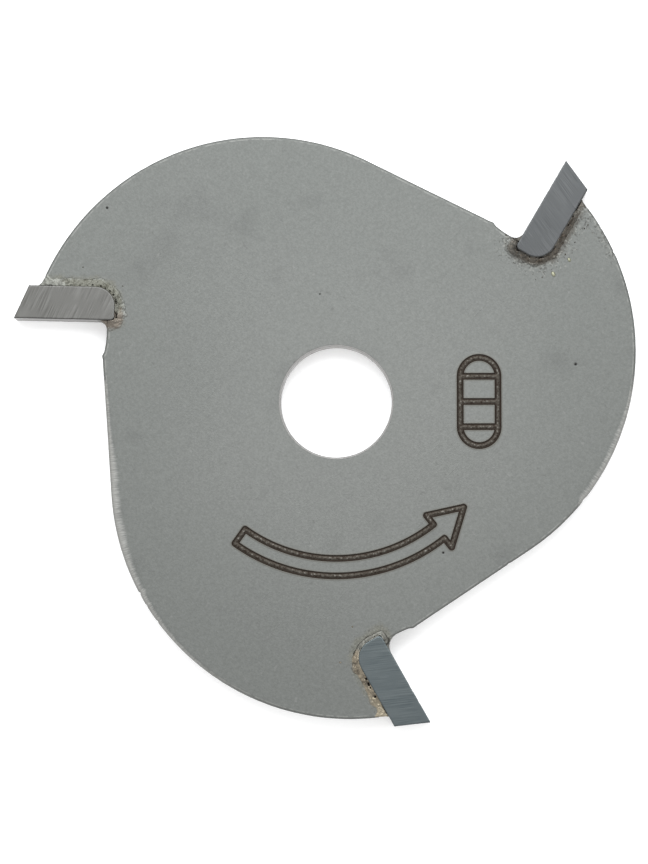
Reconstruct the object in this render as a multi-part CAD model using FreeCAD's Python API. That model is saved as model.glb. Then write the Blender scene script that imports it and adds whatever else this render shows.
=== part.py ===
import FreeCAD, Part
import math
import os

# A three-wing slotting cutter: a flat steel body that clamps on a router arbor, with three carbide tips
# brazed into seats behind its gullets. Millimetres. The origin is the centre of the bore at half the body's
# thickness. +Z runs along the bore, out of the marked face, and +X passes through the first cutting point.
# Seen from +Z the cutter turns counter-clockwise, so each rake face looks that way.

V = FreeCAD.Vector
INCH = 25.4
AXIS = V(0, 0, 1)
CENTRE = V(0, 0, 0)

# Sizes that come in standard fractions of an inch.
WINGS = 3
CUTTING_R = 1.875 * INCH / 2
BORE_R = 0.3125 * INCH / 2
KERF = 0.125 * INCH
BODY_T = 0.100 * INCH
TIP_T = 0.094 * INCH

# The body's outline: each wing is a round lobe whose edge runs straight on to the next wing's gullet.
# Angles are counted from the wing's own cutting point.
LOBE_R = 17.07
LOBE_OFFSET = 5.63
LOBE_ANGLE = -6.4
FLANK_NORMAL = 17.4
CORNER_R = 0.45
EDGE_BREAK = 0.25
BORE_CHAMFER = 0.10

# The gullets and seats. Insets run inwards along the rake face from the cutting point, and heights stand off
# it. The second wing's seat is milled a little behind its even place.
CUSP_INSET = 6.46
CUSP_HEIGHT = 2.40
GULLET_INSET = 6.60
GULLET_HOLLOW = 0.12
SEAT_LAG = (0.0, 1.0, 0.0)

# The tips: a slab with a hooked rake face, a relieved end face and sides that narrow away from the cutting
# edge.
HOOK = 13.3
END_CLEARANCE = 10.0
SIDE_CLEARANCE_BACK = 1.5
SIDE_CLEARANCE_IN = 0.5
TIP_LENGTH = 7.20
HEEL_R = 1.40

# The braze: a film between tip and seat, a sloped bead over the seat's rounded edges, and a fillet at each end
# of it. The bead's slope is carried on into the tip, and its foot and the fillets' tops lie below the faces.
FILM = 0.10
BEAD_IN = 0.10
BEAD_TOP = 0.20
BEAD_DROP = 0.08
FILLET_DROP = 0.12
GULLET_FILLET = 1.20
END_FILLET = 0.60
END_ROOM = 0.10

# The marks: a hollow curved arrow that shows the cutting direction, and a slot symbol.
MARK_DEPTH = 0.08
STROKE = 0.45
ARROW_R = 11.80
ARROW_START = 188.0
ARROW_END = 274.0
ARROW_SHAFT = 1.25
ARROW_HEAD = 2.90
ARROW_HEAD_SPAN = 12.0
SYMBOL_R = 10.20
SYMBOL_ANGLE = -46.3
SYMBOL_LENGTH = 6.30
SYMBOL_WIDTH = 2.70
SYMBOL_BARS = 3

WING_ANGLE = 360.0 / WINGS
FACE_Z = BODY_T / 2
HALF_KERF = KERF / 2
SPARE = 2.0
NEAR = 1e-3


def polar(radius, degrees):
    """A point at a radius and an angle about the bore."""
    return V(radius * math.cos(math.radians(degrees)), radius * math.sin(math.radians(degrees)), 0)


def turned(shape, degrees):
    """A copy of a shape, turned about the bore."""
    copy = shape.copy()
    copy.rotate(CENTRE, AXIS, degrees)
    return copy


def lifted(shape, height):
    """A copy of a shape, moved along Z."""
    copy = shape.copy()
    copy.translate(V(0, 0, height))
    return copy


def seat_angle(wing):
    """Where a wing's cutting point lies about the bore."""
    return wing * WING_ANGLE - SEAT_LAG[wing]


def rake_point(inset, height):
    """A point in the first wing's rake frame."""
    return polar(CUTTING_R, 0) - polar(inset, HOOK) + polar(height, HOOK + 90)


def line(a, b):
    return Part.LineSegment(a, b).toShape()


def arc(a, middle, b):
    return Part.Arc(a, middle, b).toShape()


def arc_about(centre, radius, start, end):
    """An arc about a centre, from one angle to another."""
    return arc(*(centre + polar(radius, start + (end - start) * share) for share in (0, 0.5, 1)))


def prism(edges, low, high):
    """A solid between two heights, from the edges of one closed outline."""
    face = Part.Face(Part.Wire(Part.__sortEdges__(edges)))
    return lifted(face, low).extrude(V(0, 0, high - low))


def fused(shapes):
    return shapes[0].multiFuse(shapes[1:])


def half_space(point, normal):
    """A large box that fills the side of a plane that its normal points to."""
    side = 2 * CUTTING_R
    box = Part.makeBox(side, side, side, V(-side / 2, -side / 2, 0))
    box.Placement = FreeCAD.Placement(point, FreeCAD.Rotation(AXIS, normal))
    return box


def on_lobe(inset, height, lag):
    """Where a line along the rake face's direction, at an inset and a height, runs out through the lobe."""
    turn = FreeCAD.Rotation(AXIS, -lag)
    centre = polar(LOBE_OFFSET, LOBE_ANGLE)
    start = turn.multVec(rake_point(inset, height))
    direction = turn.multVec(polar(1, HOOK))
    reach = start - centre
    along = reach.dot(direction)
    return start + direction * (math.sqrt(along**2 - reach.dot(reach) + LOBE_R**2) - along)


def wing_edges(wing):
    """One wing of the blank's outline: lobe, flank, gullet wall, and a gullet floor on the rake plane."""
    lag = SEAT_LAG[wing]
    centre = polar(LOBE_OFFSET, LOBE_ANGLE)
    flank_angle = FLANK_NORMAL - WING_ANGLE
    floor_end = on_lobe(GULLET_INSET, 0, lag)
    floor_angle = math.degrees(math.atan2(floor_end.y - centre.y, floor_end.x - centre.x))
    cusp = rake_point(CUSP_INSET, CUSP_HEIGHT)
    hollow_inset = (CUSP_INSET + GULLET_INSET) / 2 + GULLET_HOLLOW
    back = FreeCAD.Rotation(AXIS, -lag)
    hollow = back.multVec(rake_point(hollow_inset, CUSP_HEIGHT / 2))
    wall_foot = back.multVec(rake_point(GULLET_INSET, 0))
    next_cusp = FreeCAD.Rotation(AXIS, -WING_ANGLE).multVec(cusp)
    edges = [
        arc_about(centre, LOBE_R, floor_angle, flank_angle),
        line(centre + polar(LOBE_R, flank_angle), next_cusp),
        arc(cusp, hollow, wall_foot),
        line(wall_foot, floor_end),
    ]
    return [turned(edge, wing * WING_ANGLE) for edge in edges]


def tip_edges(grow, reach):
    """A tip's outline, grown on its rake, heel and back sides, and running out past the cutting point."""
    inner = TIP_LENGTH + grow
    low = -TIP_T - grow
    corner_r = HEEL_R + grow
    top_out, top_in = rake_point(-reach, grow), rake_point(inner, grow)
    heel_end, back_in = rake_point(inner, low + corner_r), rake_point(inner - corner_r, low)
    back_out = rake_point(-reach, low)
    return [
        line(top_out, top_in),
        line(top_in, heel_end),
        arc_about(rake_point(inner - corner_r, low + corner_r), corner_r, HOOK + 180, HOOK + 270),
        line(back_in, back_out),
        line(back_out, top_out),
    ]


def carbide_tip():
    """The first tip, ground on its end and both sides from a slab with one round corner."""
    cutting_point = polar(CUTTING_R, 0)
    tip = prism(tip_edges(0, SPARE), -HALF_KERF, HALF_KERF)
    tip = tip.cut(half_space(cutting_point, polar(1, -END_CLEARANCE)))
    lean = polar(math.tan(math.radians(SIDE_CLEARANCE_BACK)), HOOK - 90)
    lean += polar(math.tan(math.radians(SIDE_CLEARANCE_IN)), HOOK + 180)
    for side in (1, -1):
        normal = V(lean.x, lean.y, side)
        tip = tip.cut(half_space(cutting_point + V(0, 0, side * HALF_KERF), normal))
    return tip


def groove(edge):
    """A flat-bottomed groove of one stroke's width in the front face, along one straight or round edge."""
    half = STROKE / 2
    low, high = FACE_Z - MARK_DEPTH, FACE_Z + SPARE
    a, b = edge.valueAt(edge.FirstParameter), edge.valueAt(edge.LastParameter)
    if isinstance(edge.Curve, Part.Line):
        across = (b - a).cross(AXIS).normalize() * half
        corners = [a + across, b + across, b - across, a - across]
        return prism([line(corners[k - 1], corners[k]) for k in range(len(corners))], low, high)
    centre, radius = edge.Curve.Center, edge.Curve.Radius
    middle = edge.valueAt((edge.FirstParameter + edge.LastParameter) / 2)
    outer = [centre + (point - centre) * (1 + half / radius) for point in (a, middle, b)]
    inner = [centre + (point - centre) * (1 - half / radius) for point in (a, middle, b)]
    return prism([arc(*outer), line(outer[2], inner[2]), arc(*inner), line(inner[0], outer[0])], low, high)


def stroke(edges):
    """What a round-ended cutter sinks into the front face along a path of edges."""
    foot = V(0, 0, FACE_Z - MARK_DEPTH)
    ends = [Part.makeCylinder(STROKE / 2, MARK_DEPTH + SPARE, vertex.Point + foot)
            for edge in edges for vertex in edge.Vertexes]
    return fused([groove(edge) for edge in edges] + ends)


def arrow_mark():
    """A hollow curved arrow along an arc about the bore, pointing in the cutting direction."""
    neck = ARROW_END - ARROW_HEAD_SPAN
    shaft_out, shaft_in = ARROW_R + ARROW_SHAFT / 2, ARROW_R - ARROW_SHAFT / 2
    barb_out, barb_in = ARROW_R + ARROW_HEAD / 2, ARROW_R - ARROW_HEAD / 2
    return stroke([
        arc_about(CENTRE, shaft_out, ARROW_START, neck),
        arc_about(CENTRE, shaft_in, ARROW_START, neck),
        line(polar(shaft_out, ARROW_START), polar(shaft_in, ARROW_START)),
        line(polar(shaft_in, neck), polar(barb_in, neck)),
        line(polar(barb_in, neck), polar(ARROW_R, ARROW_END)),
        line(polar(ARROW_R, ARROW_END), polar(barb_out, neck)),
        line(polar(barb_out, neck), polar(shaft_out, neck)),
    ])


def symbol_mark():
    """A slot with round ends and bars across it."""
    end_r = SYMBOL_WIDTH / 2
    end_y = SYMBOL_LENGTH / 2 - end_r
    edges = [
        line(V(end_r, -end_y, 0), V(end_r, end_y, 0)),
        arc_about(V(0, end_y, 0), end_r, 0, 180),
        line(V(-end_r, end_y, 0), V(-end_r, -end_y, 0)),
        arc_about(V(0, -end_y, 0), end_r, 180, 360),
    ]
    for k in range(SYMBOL_BARS):
        y = end_y * (2 * k / (SYMBOL_BARS - 1) - 1)
        edges.append(line(V(-end_r, y, 0), V(end_r, y, 0)))
    mark = stroke(edges)
    mark.translate(V(SYMBOL_R, 0, 0))
    return turned(mark, SYMBOL_ANGLE)


def upright_corners(body):
    """The edges where each seat's back wall runs out through its lobe."""
    found = []
    for wing in range(WINGS):
        corner = on_lobe(GULLET_INSET, -TIP_T - FILM, SEAT_LAG[wing])
        place = FreeCAD.Rotation(AXIS, wing * WING_ANGLE).multVec(corner)
        for edge in body.Edges:
            here = edge.BoundBox.Center
            if edge.BoundBox.ZLength > FACE_Z and math.hypot(here.x - place.x, here.y - place.y) < NEAR:
                found.append(edge)
    return found


def rim_edges(body):
    """The edges round both faces of the body."""
    return [edge for edge in body.Edges
            if edge.BoundBox.ZLength < NEAR and abs(abs(edge.BoundBox.ZMax) - FACE_Z) < NEAR]


def bore_tool():
    """What the bore and its two chamfers take out."""
    depth = BORE_CHAMFER + SPARE
    tools = [Part.makeCylinder(BORE_R, BODY_T + 2 * SPARE, V(0, 0, -FACE_Z - SPARE))]
    for side in (1, -1):
        foot = V(0, 0, side * (FACE_Z - BORE_CHAMFER))
        tools.append(Part.makeCone(BORE_R, BORE_R + depth, depth, foot, AXIS * side))
    return fused(tools)


def cutter_body():
    """The steel body: a plate with its seats, rounded edges, bore and marks."""
    edges = [edge for wing in range(WINGS) for edge in wing_edges(wing)]
    body = prism(edges, -FACE_Z, FACE_Z)
    seat = prism(tip_edges(FILM, SPARE), -FACE_Z - SPARE, FACE_Z + SPARE)
    for wing in range(WINGS):
        body = body.cut(turned(seat, seat_angle(wing)))
    body = body.makeFillet(CORNER_R, upright_corners(body))
    body = body.makeFillet(EDGE_BREAK, rim_edges(body))
    return body.cut(fused([bore_tool(), arrow_mark(), symbol_mark()]))


def fillet_prism(corner, up, size):
    """A concave fillet in a square corner whose floor runs out along the rake face."""
    along = polar(1, HOOK)
    a, b = corner + along * size, corner + up * size
    middle = corner + (along + up) * (size * (1 - math.sqrt(0.5)))
    top = FACE_Z - FILLET_DROP
    return prism([line(corner, a), arc(a, middle, b), line(b, corner)], -top, top)


def bead(side, spread):
    """The sloped bead on one face of the body, from inside the tip down into the seat's rounded edge."""
    foot = lifted(Part.Wire(Part.__sortEdges__(tip_edges(spread, 0))), side * (FACE_Z - BEAD_DROP))
    crest = lifted(Part.Wire(Part.__sortEdges__(tip_edges(-BEAD_IN, 0))), side * (FACE_Z + BEAD_TOP))
    return Part.makeLoft([foot, crest], True, True)


def seam_zone(start, end, margin):
    """The space behind a tip and round its heel that its bead keeps to, between two insets."""
    inner, low, middle = TIP_LENGTH + margin, -TIP_T - margin, -TIP_T / 2
    outline = [(end, low), (inner, low), (inner, margin), (start, margin), (start, middle), (end, middle)]
    corners = [rake_point(inset, height) for inset, height in outline]
    return prism([line(corners[k - 1], corners[k]) for k in range(len(corners))], -HALF_KERF, HALF_KERF)


def braze_joint(wing, body, tip):
    """One wing's braze, in the first tip's place: what lies near the seam, less the steel and the carbide."""
    spread = FILM + EDGE_BREAK
    corner = on_lobe(GULLET_INSET, -TIP_T - FILM, SEAT_LAG[wing])
    corner = FreeCAD.Rotation(AXIS, SEAT_LAG[wing]).multVec(corner)
    end_inset = (rake_point(0, 0) - corner).dot(polar(1, HOOK)) + CORNER_R + END_ROOM
    start_inset = GULLET_INSET + spread
    core = prism(tip_edges(spread, 0), BEAD_DROP - FACE_Z, FACE_Z - BEAD_DROP)
    seam = fused([core, bead(1, spread), bead(-1, spread)])
    seam = seam.common(seam_zone(start_inset, end_inset, 2 * spread))
    ahead = polar(1, HOOK + 90)
    gullet = fillet_prism(rake_point(start_inset, 0), ahead, GULLET_FILLET)
    end = fillet_prism(rake_point(end_inset, -TIP_T), ahead * -1, END_FILLET)
    steel = turned(body, -seat_angle(wing))
    return fused([seam, gullet, end]).cut(steel).cut(tip)


def one_solid(shape):
    """The single closed solid that a shape holds."""
    solids = shape.Solids
    assert len(solids) == 1 and solids[0].isValid()
    return solids[0]


def main():
    os.makedirs("parts", exist_ok=True)
    body = one_solid(cutter_body())
    tip = one_solid(carbide_tip())
    body.exportStep("parts/cutter_body.step")
    for wing in range(WINGS):
        joint = one_solid(braze_joint(wing, body, tip))
        turned(tip, seat_angle(wing)).exportStep("parts/carbide_tip_%d.step" % (wing + 1))
        turned(joint, seat_angle(wing)).exportStep("parts/braze_joint_%d.step" % (wing + 1))


main()
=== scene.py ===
import math
import random
import bmesh
import bpy
import numpy as np
from mathutils import Matrix, Vector, kdtree, noise
from mathutils.geometry import delaunay_2d_cdt


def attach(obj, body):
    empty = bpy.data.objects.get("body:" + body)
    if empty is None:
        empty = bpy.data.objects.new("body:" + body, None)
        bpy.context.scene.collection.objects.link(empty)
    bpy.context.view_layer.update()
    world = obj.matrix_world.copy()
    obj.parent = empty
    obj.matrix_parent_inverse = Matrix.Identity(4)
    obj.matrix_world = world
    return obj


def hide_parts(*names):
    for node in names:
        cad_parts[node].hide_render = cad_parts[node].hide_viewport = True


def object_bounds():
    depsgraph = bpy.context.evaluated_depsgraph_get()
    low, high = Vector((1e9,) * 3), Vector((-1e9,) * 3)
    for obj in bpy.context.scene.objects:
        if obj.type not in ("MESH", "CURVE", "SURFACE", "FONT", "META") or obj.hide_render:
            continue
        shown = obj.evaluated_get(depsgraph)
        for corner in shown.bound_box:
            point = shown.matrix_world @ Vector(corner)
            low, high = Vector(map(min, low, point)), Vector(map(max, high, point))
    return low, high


# The looks of a three-wing slotting cutter: a blasted steel body, three carbide tips and their brazed joints.
# Shapes are worked out in millimetres, in the CAD model's frame, and become metres in their meshes.
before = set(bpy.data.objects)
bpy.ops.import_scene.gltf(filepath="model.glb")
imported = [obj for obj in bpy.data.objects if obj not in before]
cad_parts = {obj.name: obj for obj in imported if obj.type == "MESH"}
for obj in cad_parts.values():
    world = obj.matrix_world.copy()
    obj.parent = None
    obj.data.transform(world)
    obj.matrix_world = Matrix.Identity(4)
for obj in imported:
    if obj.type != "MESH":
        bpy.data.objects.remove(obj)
cad_low, cad_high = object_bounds()

MM = 0.001
INCH = 25.4
SEED = 11

# The driving sizes of the CAD model.
WINGS = 3
CUTTING_R = 1.875 * INCH / 2
BORE_R = 0.3125 * INCH / 2
HALF_KERF = 0.125 * INCH / 2
FACE_Z = 0.100 * INCH / 2
TIP_T = 0.094 * INCH
LOBE_R = 17.07
LOBE_OFFSET = 5.63
LOBE_ANGLE = -6.4
FLANK_NORMAL = 17.4
CORNER_R = 0.45
BORE_CHAMFER = 0.10
CUSP_INSET = 6.46
CUSP_HEIGHT = 2.40
GULLET_INSET = 6.60
GULLET_HOLLOW = 0.12
SEAT_LAG = (0.0, 1.0, 0.0)
HOOK = 13.3
END_CLEARANCE = 10.0
SIDE_CLEARANCE_BACK = 1.5
SIDE_CLEARANCE_IN = 0.5
TIP_LENGTH = 7.20
HEEL_R = 1.40
FILM = 0.10
MARK_DEPTH = 0.08
ARROW_R = 11.80
ARROW_START = 188.0
ARROW_END = 274.0
ARROW_SHAFT = 1.25
ARROW_HEAD = 2.90
ARROW_HEAD_SPAN = 12.0
SYMBOL_R = 10.20
SYMBOL_ANGLE = -46.3
SYMBOL_LENGTH = 6.30
SYMBOL_WIDTH = 2.70
SYMBOL_BARS = 3
WING_ANGLE = 360.0 / WINGS

# The view: the angle of the picture's right-hand side in the frame, and a camera almost over the bore.
PICTURE_ANGLE = -46.4
EYE_HEIGHT = 350.0
EYE_RIGHT = 4.0
EYE_UP = -15.9
AIM_RIGHT = -0.89
AIM_UP = -2.10
SENSOR = 36.0
PICTURE_HEIGHT = 61.84

# A small round on each tip's inner corner.
INNER_ROUND = 0.32

# Where the seam starts, past the gullet's foot.
SEAM_START = 0.14

# Mesh spacing on the body, and the closest that two points may lie.
EDGE_STEP = 0.15
RIM_STEP = 0.16
FACE_STEP = 0.62
SEAM_FACE_STEP = 0.24
MARK_STEP = 0.09
CLOSEST = 0.024
WALL_ROWS = 7

# The steel's rounded edges: depth, then width at angles about the bore. Two stretches were ground wider.
EDGE_DROP = 0.14
EDGE_WIDTHS = (
    (0, 0.12), (127, 0.12), (129, 0.28), (142, 0.38), (150, 0.72), (165, 0.80), (173, 0.62), (181, 0.42),
    (190, 0.30), (202, 0.22), (222, 0.12), (290, 0.12), (292, 0.52), (306, 0.52), (318, 0.20), (325, 0.12),
    (360, 0.12),
)

# Nicks in the outline, and small swells where the flanks end: angle, depth and half width.
NICKS = (
    (2.3, -0.07, 0.26), (122.3, -0.08, 0.28), (242.3, -0.06, 0.26),
    (177.9, 0.09, 0.20), (180.6, 0.05, 0.14), (184.4, 0.06, 0.13), (270.5, 0.05, 0.20), (292.0, 0.05, 0.30),
    (341.9, 0.06, 0.14), (345.6, 0.05, 0.12), (347.0, 0.04, 0.12),
)

# Small pits in the face: their depth, then each one's radius and angle about the bore and its own radius.
PIT_DEPTH = 0.06
PITS = ((21.5, 93.3, 0.08), (17.3, -37.5, 0.10), (13.2, -101.1, 0.08), (7.8, 52.2, 0.05))

# Waves of noise: strength, features per millimetre and seed.
WIDTH_WAVES = ((0.10, 1.6, 1), (0.05, 5.0, 2))
DROP_WAVES = ((0.08, 0.9, 5),)
OUTLINE_WAVES = ((0.006, 1.3, 4), (0.004, 4.0, 6))
PULSE_WAVES = ((0.22, 7.0, 3),)


# ---- plane geometry, in millimetres

SEED_GAP = 7.3
GRID_ROW_SHARE = 0.87
GRID_SHIFT = 0.18
CONVEX_OUTPUT = 0
MERGE_WITHIN = 1e-7


def polar(radius, degrees):
    """The plane point at a radius and an angle."""
    return np.array([radius * math.cos(math.radians(degrees)), radius * math.sin(math.radians(degrees))])


def turned(points, degrees):
    """Plane points turned about the bore's axis."""
    c, s = math.cos(math.radians(degrees)), math.sin(math.radians(degrees))
    return np.asarray(points) @ np.array([[c, s], [-s, c]])


def placed(points, wing):
    """Plane points from the first wing's tip, moved to another wing's."""
    return turned(points, wing * WING_ANGLE - SEAT_LAG[wing])


def angle_of(vector):
    """A plane vector's angle in degrees."""
    return math.degrees(math.atan2(vector[1], vector[0]))


def rake_point(inset, height):
    """A point in the first wing's rake frame: inset inwards along the rake face, height off it."""
    return polar(CUTTING_R, 0) - polar(inset, HOOK) + polar(height, HOOK + 90)


def on_line(a, b, step):
    """Points from a towards b, with b left out."""
    a, b = np.asarray(a), np.asarray(b)
    count = max(1, math.ceil(np.linalg.norm(b - a) / step))
    return a + (b - a) * (np.arange(count) / count)[:, None]


def on_arc(centre, radius, start, end, step):
    """Points on an arc from one angle to another, with the last left out."""
    count = max(2, math.ceil(math.radians(abs(end - start)) * radius / step))
    angles = np.radians(start + (end - start) * np.arange(count) / count)
    return np.asarray(centre) + radius * np.stack([np.cos(angles), np.sin(angles)], 1)


def circle_through(a, b, c):
    """Centre and radius of the circle through three points."""
    system = 2 * np.array([b - a, c - a])
    centre = np.linalg.solve(system, np.array([b @ b - a @ a, c @ c - a @ a]))
    return centre, np.linalg.norm(centre - a)


def smooth(x, low, high):
    """0 below low, 1 above high, and smooth between."""
    t = np.clip((np.asarray(x, float) - low) / (high - low), 0, 1)
    return t * t * (3 - 2 * t)


def seat_corner(lag):
    """The centres of a seat's rounded outer corner and of the lobe, in the seat's own frame."""
    lobe = turned(polar(LOBE_OFFSET, LOBE_ANGLE), lag)
    start = rake_point(0, -TIP_T - FILM - CORNER_R)
    out = polar(1, HOOK)
    reach = start - lobe
    along = reach @ out
    travel = math.sqrt(along**2 - reach @ reach + (LOBE_R - CORNER_R) ** 2) - along
    return start + out * travel, lobe


def wing_outline(wing, step):
    """One wing of the steel's outline, counter-clockwise: flank, lobe, corner, seat and gullet wall."""
    lag, turn = SEAT_LAG[wing], wing * WING_ANGLE
    centre = polar(LOBE_OFFSET, LOBE_ANGLE)
    cusp = rake_point(CUSP_INSET, CUSP_HEIGHT)
    flank_angle = FLANK_NORMAL - WING_ANGLE
    corner, lobe = seat_corner(lag)
    corner_angle = angle_of(corner - lobe)
    wall = -TIP_T - FILM
    heel, inner = HEEL_R + FILM, TIP_LENGTH + FILM
    foot = turned(rake_point(GULLET_INSET, 0), -lag)
    hollow = turned(rake_point((CUSP_INSET + GULLET_INSET) / 2 + GULLET_HOLLOW, CUSP_HEIGHT / 2), -lag)
    gullet, gullet_r = circle_through(foot, hollow, cusp)
    gullet_angle = angle_of(turned(rake_point(GULLET_INSET, FILM), -lag) - gullet)
    mouth = gullet + polar(gullet_r, gullet_angle)
    cusp_angle = angle_of(cusp - gullet)
    cusp_angle = gullet_angle + (cusp_angle - gullet_angle + 180) % 360 - 180
    seat = [
        on_arc(corner, CORNER_R, corner_angle, HOOK + 90, step / 2),
        on_line(corner + polar(CORNER_R, HOOK + 90), rake_point(inner - heel, wall), step),
        on_arc(rake_point(inner - heel, wall + heel), heel, HOOK + 270, HOOK + 180, step),
        on_line(rake_point(inner, wall + heel), rake_point(inner, FILM), step),
        on_line(rake_point(inner, FILM), turned(mouth, lag), step),
    ]
    parts = [
        on_line(turned(cusp, -WING_ANGLE), centre + polar(LOBE_R, flank_angle), step),
        on_arc(centre, LOBE_R, flank_angle, corner_angle - lag, step),
        turned(np.concatenate(seat), -lag),
        on_arc(gullet, gullet_r, gullet_angle, cusp_angle, step),
    ]
    return turned(np.concatenate(parts), turn)


def round_heel(height, inset, step):
    """From a height on the tip's inner end, round its heel and out along its back, as parts of a path."""
    heel_inset, heel_height = TIP_LENGTH - HEEL_R, HEEL_R - TIP_T
    return [
        on_line(rake_point(TIP_LENGTH, height), rake_point(TIP_LENGTH, heel_height), step),
        on_arc(rake_point(heel_inset, heel_height), HEEL_R, HOOK + 180, HOOK + 270, step),
        on_line(rake_point(heel_inset, -TIP_T), rake_point(inset, -TIP_T), step),
    ]


def tip_outline(step):
    """The first tip's outline, counter-clockwise from its cutting point."""
    end_inset = TIP_T * math.tan(math.radians(HOOK + END_CLEARANCE))
    round_centre = rake_point(TIP_LENGTH - INNER_ROUND, -INNER_ROUND)
    parts = [
        on_line(rake_point(0, 0), rake_point(TIP_LENGTH - INNER_ROUND, 0), step),
        on_arc(round_centre, INNER_ROUND, HOOK + 90, HOOK + 180, step / 2),
        *round_heel(-INNER_ROUND, end_inset, step),
        on_line(rake_point(end_inset, -TIP_T), rake_point(0, 0), step),
    ]
    return np.concatenate(parts)


def inward(points):
    """For each point of a closed counter-clockwise outline, the step that moves its two edges in by 1."""
    edges = np.roll(points, -1, 0) - points
    edges /= np.linalg.norm(edges, axis=1)[:, None]
    normals = np.stack([-edges[:, 1], edges[:, 0]], 1)
    before = np.roll(normals, 1, 0)
    return (before + normals) / (1 + (before * normals).sum(1))[:, None]


def left_of(path):
    """Unit vectors to the left of an open path."""
    along = np.gradient(path, axis=0)
    along /= np.linalg.norm(along, axis=1)[:, None]
    return np.stack([-along[:, 1], along[:, 0]], 1)


def well_inside(grid, outline, normals, near, gaps):
    """The points of a grid inside an outline, further from it than the gap at their nearest point."""
    distance, index = near.find(grid)
    index %= len(outline)
    inside = ((grid - outline[index]) * normals[index]).sum(1) > 0
    return grid[inside & (distance > gaps[index])]


class Near:
    """Distances to a set of plane points."""

    def __init__(self, points):
        self.tree = kdtree.KDTree(len(points))
        for k, p in enumerate(points):
            self.tree.insert((p[0], p[1], 0), k)
        self.tree.balance()

    def find(self, points):
        """For each point, the distance to the nearest one and which it is."""
        found = [self.tree.find((p[0], p[1], 0)) for p in points]
        return np.array([f[2] for f in found]), np.array([f[1] for f in found])


def wander(points, scale, seed):
    """Smooth noise from -1 to 1 at plane points; scale is in features per millimetre."""
    return np.array([noise.noise(Vector((p[0] * scale, p[1] * scale, seed * SEED_GAP))) for p in points])


def waved(start, points, waves):
    """A start value with waves of noise added at plane points."""
    return sum((strength * wander(points, scale, seed) for strength, scale, seed in waves), start)


def triangles(points, outer, hole=()):
    """Triangles inside an outer loop. Also gives which point each new vertex was, and the other way round."""
    places = [Vector(p) for p in points]
    edges = [(hole[k - 1], hole[k]) for k in range(len(hole))]
    made = delaunay_2d_cdt(places, edges, [list(outer)], CONVEX_OUTPUT, MERGE_WITHIN, True)
    verts, _, faces, origins, _, owners = made
    faces = [face for face, owner in zip(faces, owners) if owner]
    now = {old: new for new, olds in enumerate(origins) for old in olds}
    return np.array([v[:] for v in verts]), faces, [olds[0] for olds in origins], now


def plane_grid(step, seed):
    """A loose grid of points over the whole cutter, with a little random shift."""
    low, high = -CUTTING_R, CUTTING_R
    rng = np.random.default_rng(seed)
    rows = []
    for k, y in enumerate(np.arange(low, high, step * GRID_ROW_SHARE)):
        x = np.arange(low, high, step) + (k % 2) * step / 2
        rows.append(np.stack([x, np.full(len(x), y)], 1))
    points = np.concatenate(rows)
    return points + rng.uniform(-GRID_SHIFT, GRID_SHIFT, points.shape) * step


def bands(rings):
    """Faces between rings of vertex numbers."""
    count = len(rings[0])
    return [(a[k - 1], a[k], b[k], b[k - 1]) for a, b in zip(rings, rings[1:]) for k in range(count)]


def rows_between(upper, lower, offsets):
    """Rows of wall points between two rings of the same length, each row moved by its own offsets."""
    shares = (np.arange(len(offsets)) + 1) / (len(offsets) + 1)
    return [upper * (1 - t) + lower * t + offset for t, offset in zip(shares, offsets)]


class Shell:
    """A mesh that is put together in pieces, with a value per vertex for each layer."""

    def __init__(self, *layers):
        self.pieces, self.faces = [], []
        self.values = {name: [] for name in layers}

    def add(self, verts, faces, **layers):
        """Adds vertices and faces, and gives back the number of the first new vertex."""
        base = sum(len(piece) for piece in self.pieces)
        self.pieces.append(verts)
        self.faces += [tuple(base + k for k in face) for face in faces]
        for name, values in self.values.items():
            values.append(np.broadcast_to(layers[name], len(verts)))
        return base

    def close(self, upper, lower, rows, **layers):
        """Closes the gap between two loops of vertex numbers with rows of points."""
        loops = [upper]
        for row in rows:
            base = self.add(row, [], **layers)
            loops.append(list(range(base, base + len(row))))
        self.faces += bands(loops + [lower])

    def verts(self):
        return np.concatenate(self.pieces)

    def layers(self):
        return {name: np.concatenate(values) for name, values in self.values.items()}


def added(name, data):
    """A new object in the scene."""
    obj = bpy.data.objects.new(name, data)
    bpy.context.scene.collection.objects.link(obj)
    return obj


def build_mesh(name, verts, faces, layers):
    """A smooth-shaded mesh object, in metres, with one value per vertex for each layer."""
    mesh = bpy.data.meshes.new(name)
    mesh.from_pydata((np.asarray(verts) * MM).tolist(), [], faces)
    for layer, values in layers.items():
        mesh.attributes.new(layer, "FLOAT", "POINT").data.foreach_set("value", np.asarray(values, np.float32))
    shell = bmesh.new()
    shell.from_mesh(mesh)
    bmesh.ops.delete(shell, geom=[v for v in shell.verts if not v.link_faces], context="VERTS")
    bmesh.ops.recalc_face_normals(shell, faces=shell.faces)
    shell.to_mesh(mesh)
    shell.free()
    mesh.shade_smooth()
    return added(name, mesh)


# ---- the marks

def arrow_strokes(step):
    """The hollow curved arrow's strokes."""
    neck = ARROW_END - ARROW_HEAD_SPAN
    shaft_out, shaft_in = ARROW_R + ARROW_SHAFT / 2, ARROW_R - ARROW_SHAFT / 2
    barb_out, barb_in = ARROW_R + ARROW_HEAD / 2, ARROW_R - ARROW_HEAD / 2
    point = polar(ARROW_R, ARROW_END)
    inner = [polar(radius, neck) for radius in (shaft_in, barb_in)]
    outer = [polar(radius, neck) for radius in (barb_out, shaft_out)]
    corners = [*inner, point, *outer]
    strokes = [on_line(a, b, step) for a, b in zip(corners, corners[1:])]
    strokes.append(on_arc((0, 0), shaft_out, neck, ARROW_START, step))
    strokes.append(on_line(polar(shaft_out, ARROW_START), polar(shaft_in, ARROW_START), step))
    strokes.append(on_arc((0, 0), shaft_in, ARROW_START, neck, step))
    return strokes


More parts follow.
